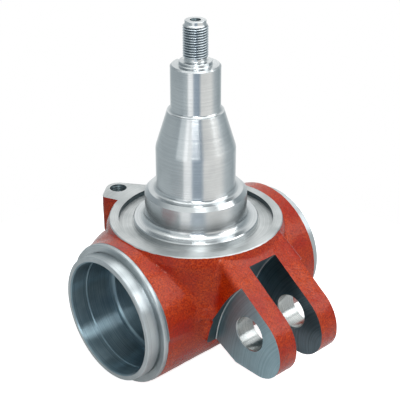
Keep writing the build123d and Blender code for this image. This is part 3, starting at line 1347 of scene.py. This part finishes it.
@dataclass(frozen=True)
class CutSteel:
    """Bare machined steel: bright, with the fine parallel marks that its tool leaves.

    The marks follow the sum of height and radius, so they run round the axis that the face was
    turned or milled about. Where root is given, the thread is darkened with painted shade from the
    second radius down to the first, the shade that falls in its roots. Colours: color on the
    crests, dark in the marks. Lengths are millimetres.
    """

    name: str
    color: str
    dark: str
    roughness: float = 0.30
    axis: Axis = Axis.SPINDLE
    centre: Point3 = (0.0, 0.0, 0.0)
    spacing: float = 0.9
    depth: float = 0.0015
    anisotropy: float = 0.8
    cloud: float = 22.2
    # Radii over which painted shade darkens the thread's roots, and the colour of that shade.
    root: Point | None = None
    root_shade_color: str = "#18303C"

    def build(self) -> None:
        """Makes the material. Marks closer than a millimetre are drawn at about one, to show."""
        _, tree, out = start_material(self.name)
        place = add(tree, "ShaderNodeTexCoord").outputs["Object"]
        shift = [-c * MM for c in self.centre]
        moved = add(tree, "ShaderNodeVectorMath", {0: place, 1: shift}, operation="ADD").outputs[0]
        parts = add(tree, "ShaderNodeSeparateXYZ", {0: moved})
        order = "XYZXY"
        start = order.index(self.axis.value)
        along, first, second = [parts.outputs[letter] for letter in order[start:start + 3]]
        flat = add(tree, "ShaderNodeCombineXYZ", {0: first, 1: second}).outputs[0]
        radius = add(tree, "ShaderNodeVectorMath", {0: flat}, operation="LENGTH").outputs["Value"]
        feed = add(tree, "ShaderNodeMath", {0: radius, 1: along}, operation="ADD").outputs[0]
        rings = add(tree, "ShaderNodeTexNoise", {
            "W": feed, "Scale": 1 / (self.spacing * MM), "Detail": 3.0, "Roughness": 0.7,
        }, noise_dimensions="1D").outputs["Fac"]
        cloud = add(tree, "ShaderNodeTexNoise", {
            "Vector": place, "Scale": 1 / (self.cloud * MM), "Detail": 5.0,
        }).outputs["Fac"]
        tone = add(tree, "ShaderNodeMath", {0: rings, 1: cloud}, operation="MULTIPLY").outputs[0]
        share = add(tree, "ShaderNodeMapRange", {
            "Value": tone, "From Min": 0.14, "From Max": 0.36,
        })
        color = add(tree, "ShaderNodeMix", {
            "Factor": share.outputs[0], "A": linear(self.dark), "B": linear(self.color),
        }, data_type="RGBA").outputs["Result"]
        # Painted shade: the thread darkens into its roots.
        if self.root:
            crest = add(tree, "ShaderNodeMapRange", {
                "Value": radius, "From Min": self.root[0] * MM, "From Max": self.root[1] * MM,
            })
            color = add(tree, "ShaderNodeMix", {
                "Factor": crest.outputs[0], "A": linear(self.root_shade_color), "B": color,
            }, data_type="RGBA").outputs["Result"]
        rough = add(tree, "ShaderNodeMapRange", {
            "Value": rings, "From Min": 0.3, "From Max": 0.7,
            "To Min": self.roughness * 0.9, "To Max": self.roughness * 1.15,
        }).outputs[0]
        bump = add(tree, "ShaderNodeBump", {
            "Height": rings, "Distance": self.depth * MM, "Strength": 1.0,
        })
        shader = add(tree, "ShaderNodeBsdfPrincipled", {
            "Metallic": 1.0, "Base Color": color, "Roughness": rough, "Normal": bump.outputs[0],
            "Anisotropic": self.anisotropy, "Anisotropic Rotation": 0.25,
        })
        tangent = add(tree, "ShaderNodeTangent", direction_type="RADIAL", axis=self.axis.value)
        tree.links.new(tangent.outputs[0], shader.inputs["Tangent"])
        tree.links.new(shader.outputs[0], out.inputs[0])


@dataclass(frozen=True)
class OxidePrimer:
    """Oxide-red primer sprayed over a blasted forging: mottled, with a fine grain.

    The film follows the blasted skin under it, so its gloss breaks up into small soft glints, and
    they are tinted because the film is half clear. Where the grain dips it is thin and deeper in
    colour. Lengths are millimetres.
    """

    name: str = "primer"
    color: str = "#B22003"
    deep: str = "#8A1401"
    warm: str = "#C8440C"
    glint: tuple[float, float, float, float] = (1.0, 0.55, 0.42, 1.0)
    roughness: float = 0.19
    mottle: float = 18.2
    grain: float = 1.3
    coarse: float = 2.86
    coarse_height: float = 3.0
    depth: float = 0.15

    def build(self) -> None:
        """Makes the material, with mottling at centimetres and grain at about a millimetre."""
        _, tree, out = start_material(self.name)
        place = add(tree, "ShaderNodeTexCoord").outputs["Object"]
        broad = add(tree, "ShaderNodeTexNoise", {
            "Vector": place, "Scale": 1 / (self.mottle * MM), "Detail": 4.0,
        }).outputs["Fac"]
        grain = add(tree, "ShaderNodeTexNoise", {
            "Vector": place, "Scale": 1 / (self.grain * MM), "Detail": 3.0, "Roughness": 0.6,
        }).outputs["Fac"]
        coarse = add(tree, "ShaderNodeTexNoise", {
            "Vector": place, "Scale": 1 / (self.coarse * MM), "Detail": 4.0, "Roughness": 0.65,
        }).outputs["Fac"]
        color = linear(self.color)
        layers = ((broad, 0.35, 0.65, self.warm), (grain, 0.62, 0.36, self.deep))
        for noise, low, high, other in layers:
            share = add(tree, "ShaderNodeMapRange", {
                "Value": noise, "From Min": low, "From Max": high,
            })
            color = add(tree, "ShaderNodeMix", {
                "Factor": share.outputs[0], "A": color, "B": linear(other),
            }, data_type="RGBA").outputs["Result"]
        rough = add(tree, "ShaderNodeMapRange", {
            "Value": broad, "From Min": 0.3, "From Max": 0.7,
            "To Min": self.roughness - 0.06, "To Max": self.roughness + 0.10,
        }).outputs[0]
        height = add(tree, "ShaderNodeMath", {
            0: coarse, 1: self.coarse_height, 2: grain,
        }, operation="MULTIPLY_ADD")
        bump = add(tree, "ShaderNodeBump", {
            "Height": height.outputs[0], "Distance": self.depth * MM, "Strength": 1.0,
        })
        shader = add(tree, "ShaderNodeBsdfPrincipled", {
            "Base Color": color, "Roughness": rough, "Normal": bump.outputs[0], "IOR": 1.5,
            "Specular IOR Level": 0.5, "Specular Tint": self.glint,
            "Coat Weight": 0.1, "Coat Roughness": 0.08,
        })
        tree.links.new(shader.outputs[0], out.inputs[0])


def build_finishes(clevis: Clevis) -> None:
    """Makes one material for each surface of the part.

    Args:
        clevis: The clevis, for the axes that its milled and reamed marks run round.
    """
    pin = (0.0, clevis.pin_y, clevis.pin_z)
    face_cutter = (0.0, *clevis.face_cutter)
    slot_cutter = (0.0, *clevis.slot_cutter)
    across = Axis.KING_PIN
    finishes = (
        OxidePrimer(),
        # A fine finishing cut on the spindle: bright, with a sharp streak of light down its side.
        CutSteel("turned", "#D2D5D6", "#C0C4C6", 0.22, spacing=0.8),
        # A coarser cut across the wheel face: an even, pale, silky grey.
        CutSteel("faced", "#CACCCC", "#A2A6A6", 0.46, spacing=1.1, anisotropy=0.0),
        # The hub's spigots and shoulders: satin, with soft streaks along the barrel.
        CutSteel("hub_turned", "#C2C8CA", "#A9B0B3", 0.36, across),
        # Grooves, keyway and undercuts, nearly black with painted shade: the shade that falls in
        # these recesses is painted into their colour.
        CutSteel("shaded_recess", "#5C686C", "#434E52", 0.4, anisotropy=0.2),
        # The bores: a bluish satin with one long band of light.
        CutSteel("bored", "#9AB0BA", "#768B95", 0.36, across, spacing=1.0, anisotropy=1.0),
        # The ears' outer faces: bluish, with the arcs of the disc cutter.
        CutSteel("milled", "#A0BCC5", "#88A3AC", 0.40, across, face_cutter, 1.6, anisotropy=0.5),
        # The pin holes: bright and smooth.
        CutSteel("reamed", "#C2C4C2", "#A6AAAA", 0.28, across, pin, 0.8, anisotropy=0.7),
        # The slot's inner faces: darker with painted shade between the ears, with the same arcs.
        CutSteel("shaded_slot", "#74868E", "#56676F", 0.36, across, slot_cutter, 1.6, anisotropy=0.5),
        # The thread: bright crests over roots darkened with painted shade.
        CutSteel("threaded", "#D4DBDF", "#BEC7CC", spacing=0.7, anisotropy=0.0, root=(8.7, 9.6)),
        # The hub's end faces: a darker, duller grey than the spigots.
        CutSteel("hub_faced", "#7E8A8F", "#66737A", 0.34, across, anisotropy=0.3),
    )
    for finish in finishes:
        finish.build()


# The studio


@dataclass(frozen=True)
class SoftBox:
    """A rectangular lamp, its lengths in millimetres and its power in watts."""

    name: str
    place: Point3
    width: float
    height: float
    power: float

    def build(self, target: Point3) -> None:
        """Hangs the lamp at its place, facing a target.

        Args:
            target: Point that it faces.
        """
        lamp = bpy.data.lights.new(self.name, "AREA")
        lamp.shape = "RECTANGLE"
        lamp.size = self.width * MM
        lamp.size_y = self.height * MM
        lamp.energy = self.power
        box = bpy.data.objects.new(self.name, lamp)
        bpy.context.scene.collection.objects.link(box)
        aim(box, self.place, target)


@dataclass
class Studio:
    """Pale floor, soft lights and the camera at the photograph's angle."""

    camera_place: Point3 = (-478.6, -531.2, 432.7)
    camera_target: Point3 = (2.53, -2.30, 74.31)
    focal: float = 87.0
    sensor_width: float = 36.0
    lamp_target: Point3 = (0.0, 0.0, 60.0)
    boxes: tuple[SoftBox, ...] = (
        SoftBox("overhead", (160, 60, 900), 900, 900, 3.9),
        SoftBox("key", (500, -660, 640), 600, 600, 3.4),
        SoftBox("left", (-950, -150, 420), 600, 900, 0.7),
        SoftBox("front", (-480, -620, 660), 360, 360, 3.9),
    )
    floor_z: float = -60.4
    table_r: float = 300.0
    table_sides: int = 96
    table_color: str = "#E6E8E8"
    seen_glow: float = 0.9
    mirrored_glow: float = 0.1
    soft_color: str = "#E4EAEC"
    room_light: float = 1.3
    soft_light: float = 0.18
    panels: Panels = (
        (48, "#E4E6E6"),
        (88, "#A9B1B4"),
        (140, "#A9B1B4"),
        (178, "#A4ADB1"),
        (190, "#A9B1B4"),
        (197, "#FFFFFF"),
        (213, "#FFFFFF"),
        (221, "#8E9DAB"),
        (244, "#8998A6"),
        (253, "#E9E7E4"),
        (300, "#E9E7E4"),
        (322, "#B5BCBF"),
        (358, "#98A2A6"),
    )
    upper_panels: Panels = (
        (48, "#EEF0F0"),
        (95, "#A0A8AC"),
        (150, "#6A757B"),
        (225, "#7E888D"),
        (250, "#7E888D"),
        (300, "#6B767C"),
        (350, "#8A9498"),
    )
    upper_from: float = 0.20
    upper_to: float = 0.40
    top_color: str = "#D4D8D8"
    top_from: float = 0.60
    top_to: float = 0.80

    def build(self) -> None:
        """Sets up the camera, the floor, the lamps and the world."""
        self.camera()
        self.floor()
        for box in self.boxes:
            box.build(self.lamp_target)
        self.world()
        bpy.context.scene.view_settings.view_transform = "Standard"

    def camera(self) -> None:
        """Camera fitted to the photograph: a long lens from the front left, looking down."""
        lens = bpy.data.cameras.new("camera")
        lens.lens = self.focal
        lens.sensor_width = self.sensor_width
        lens.sensor_fit = "HORIZONTAL"
        lens.clip_end = 20
        eye = bpy.data.objects.new("camera", lens)
        bpy.context.scene.collection.objects.link(eye)
        aim(eye, self.camera_place, self.camera_target)
        bpy.context.scene.camera = eye

    def floor(self) -> None:
        """Round pale table under the part, which keeps the part's shadow.

        It is plain grey-white card, and a glow that only camera rays meet makes it paper white in
        the picture. Metal mirrors it with a trace of that glow.
        """
        corners = spun(self.table_r, self.floor_z, circle(self.table_sides)) * MM
        mesh = bpy.data.meshes.new("table")
        mesh.from_pydata(corners.tolist(), [], [tuple(range(self.table_sides))])
        material, tree, out = start_material("pale_table")
        diffuse = add(tree, "ShaderNodeBsdfDiffuse", {"Color": linear(self.table_color)})
        path = add(tree, "ShaderNodeLightPath").outputs
        mirrored = add(tree, "ShaderNodeMath", {
            0: path["Is Glossy Ray"], 1: self.mirrored_glow,
        }, operation="MULTIPLY").outputs[0]
        share = add(tree, "ShaderNodeMath", {
            0: path["Is Camera Ray"], 1: self.seen_glow, 2: mirrored,
        }, operation="MULTIPLY_ADD").outputs[0]
        glow = add(tree, "ShaderNodeEmission", {"Color": (1, 1, 1, 1), "Strength": share})
        lit = add(tree, "ShaderNodeAddShader", {0: diffuse.outputs[0], 1: glow.outputs[0]})
        tree.links.new(lit.outputs[0], out.inputs[0])
        mesh.materials.append(material)
        table = bpy.data.objects.new("table", mesh)
        bpy.context.scene.collection.objects.link(table)

    def world(self) -> None:
        """Room round the table: white to the camera, two rings of grey panels to metal.

        The colour that a mirrored ray meets depends on its heading round the Z axis and on its
        rise: the walls, then the ceiling's edge, then the bright middle of the ceiling. Other
        rays meet a weak, plain light.
        """
        world = bpy.data.worlds.new("room")
        bpy.context.scene.world = world
        world.use_nodes = True
        tree = world.node_tree
        tree.nodes.clear()
        ray = add(tree, "ShaderNodeTexCoord").outputs["Generated"]
        x, y, z = add(tree, "ShaderNodeSeparateXYZ", {0: ray}).outputs
        angle = add(tree, "ShaderNodeMath", {0: y, 1: x}, operation="ARCTAN2").outputs[0]
        share = add(tree, "ShaderNodeMapRange", {
            "Value": angle, "From Min": -math.pi, "From Max": math.pi,
        }).outputs[0]
        color = self.ring_of_panels(tree, share, self.panels)
        ceiling = self.ring_of_panels(tree, share, self.upper_panels)
        layers = (
            (ceiling, self.upper_from, self.upper_to),
            (linear(self.top_color), self.top_from, self.top_to),
        )
        for above, low, high in layers:
            rise = add(tree, "ShaderNodeMapRange", {"Value": z, "From Min": low, "From Max": high})
            color = add(tree, "ShaderNodeMix", {
                "Factor": rise.outputs[0], "A": color, "B": above,
            }, data_type="RGBA").outputs["Result"]
        room = add(tree, "ShaderNodeBackground", {"Color": color, "Strength": self.room_light})
        soft = add(tree, "ShaderNodeBackground", {
            "Color": linear(self.soft_color), "Strength": self.soft_light,
        })
        white = add(tree, "ShaderNodeBackground", {"Color": (1, 1, 1, 1), "Strength": 1.0})
        path = add(tree, "ShaderNodeLightPath").outputs
        inner = add(tree, "ShaderNodeMixShader", {
            0: path["Is Glossy Ray"], 1: soft.outputs[0], 2: room.outputs[0],
        })
        mix = add(tree, "ShaderNodeMixShader", {
            0: path["Is Camera Ray"], 1: inner.outputs[0], 2: white.outputs[0],
        })
        add(tree, "ShaderNodeOutputWorld", {0: mix.outputs[0]})

    def ring_of_panels(
        self, tree: bpy.types.NodeTree, share: bpy.types.NodeSocket, panels: Panels
    ) -> bpy.types.NodeSocket:
        """Colour ramp round the room.

        Args:
            tree: The world's tree.
            share: Heading of the ray, from 0 at -X round to 1.
            panels: Heading in degrees from +X and colour of each stop.

        Returns:
            The colour.
        """
        node = add(tree, "ShaderNodeValToRGB", {"Fac": share})
        stops = node.color_ramp.elements
        while len(stops) > 1:
            stops.remove(stops[-1])
        for heading, code in sorted(((angle + 180) % 360, code) for angle, code in panels):
            stops.new(heading / 360).color = linear(code)
        stops.remove(stops[0])
        return node.outputs["Color"]


def aim(thing: Object, place: Point3, target: Point3) -> None:
    """Puts an object at a place in millimetres and points its -Z axis at a target.

    Args:
        thing: A camera or a lamp.
        place: Where it goes.
        target: Where it looks.
    """
    start = Vector(place) * MM
    thing.location = start
    thing.rotation_euler = (Vector(target) * MM - start).to_track_quat("-Z", "Y").to_euler()


# The whole part


@dataclass
class Knuckle:
    """The finished knuckle: one forging, machined, with the spindle turned on it."""

    forging: Forging = field(default_factory=Forging)
    face: TurnedFace = field(default_factory=TurnedFace)
    hub: HubEnds = field(default_factory=HubEnds)
    clevis: Clevis = field(default_factory=Clevis)
    spindle: Spindle = field(default_factory=Spindle)
    sharp_angle: float = 28.0

    def build(self) -> Object:
        """Makes the forging, machines it and joins the spindle on.

        Returns:
            The finished piece, riding on the part's only body in the place of its solid.
        """
        body = self.forging.build()
        log.info("raw forging: %d faces", len(body.data.polygons))
        self.face.cut(body)
        self.hub.cut(body)
        self.clevis.cut(body)
        log.info("machined: %d faces", len(body.data.polygons))
        combine(body, self.spindle.build(), Operation.JOIN)
        body.name = body.data.name = "knuckle_body"
        self.shade(body.data)
        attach(body, "root")
        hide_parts("steering_knuckle")
        mesh = body.data
        mesh.calc_loop_triangles()
        log.info("finished knuckle: %d triangles", len(mesh.loop_triangles))
        return body

    def shade(self, mesh: bpy.types.Mesh) -> None:
        """Smooth shading, with sharp edges at steep angles and where two finishes meet.

        Args:
            mesh: The finished mesh.
        """
        mesh.shade_smooth()
        mesh.set_sharp_from_angle(angle=math.radians(self.sharp_angle))
        counts = np.zeros(len(mesh.polygons), dtype=np.int32)
        slots = np.zeros(len(mesh.polygons), dtype=np.int32)
        edges = np.zeros(len(mesh.loops), dtype=np.int32)
        mesh.polygons.foreach_get("loop_total", counts)
        mesh.polygons.foreach_get("material_index", slots)
        mesh.loops.foreach_get("edge_index", edges)
        by_loop = np.repeat(slots, counts)
        lowest = np.full(len(mesh.edges), len(Surface))
        highest = np.full(len(mesh.edges), -1)
        np.minimum.at(lowest, edges, by_loop)
        np.maximum.at(highest, edges, by_loop)
        sharp = np.zeros(len(mesh.edges), dtype=bool)
        mesh.edges.foreach_get("use_edge_sharp", sharp)
        mesh.edges.foreach_set("use_edge_sharp", sharp | (lowest != highest))


def main() -> None:
    """Builds the finishes, the knuckle and the studio."""
    clevis = Clevis()
    build_finishes(clevis)
    piece = Knuckle(clevis=clevis).build()
    log.info("piece %s", piece.name)
    Studio().build()


if __name__ == "__main__":
    logging.basicConfig(level=logging.INFO, format="%(name)s: %(message)s")
    main()
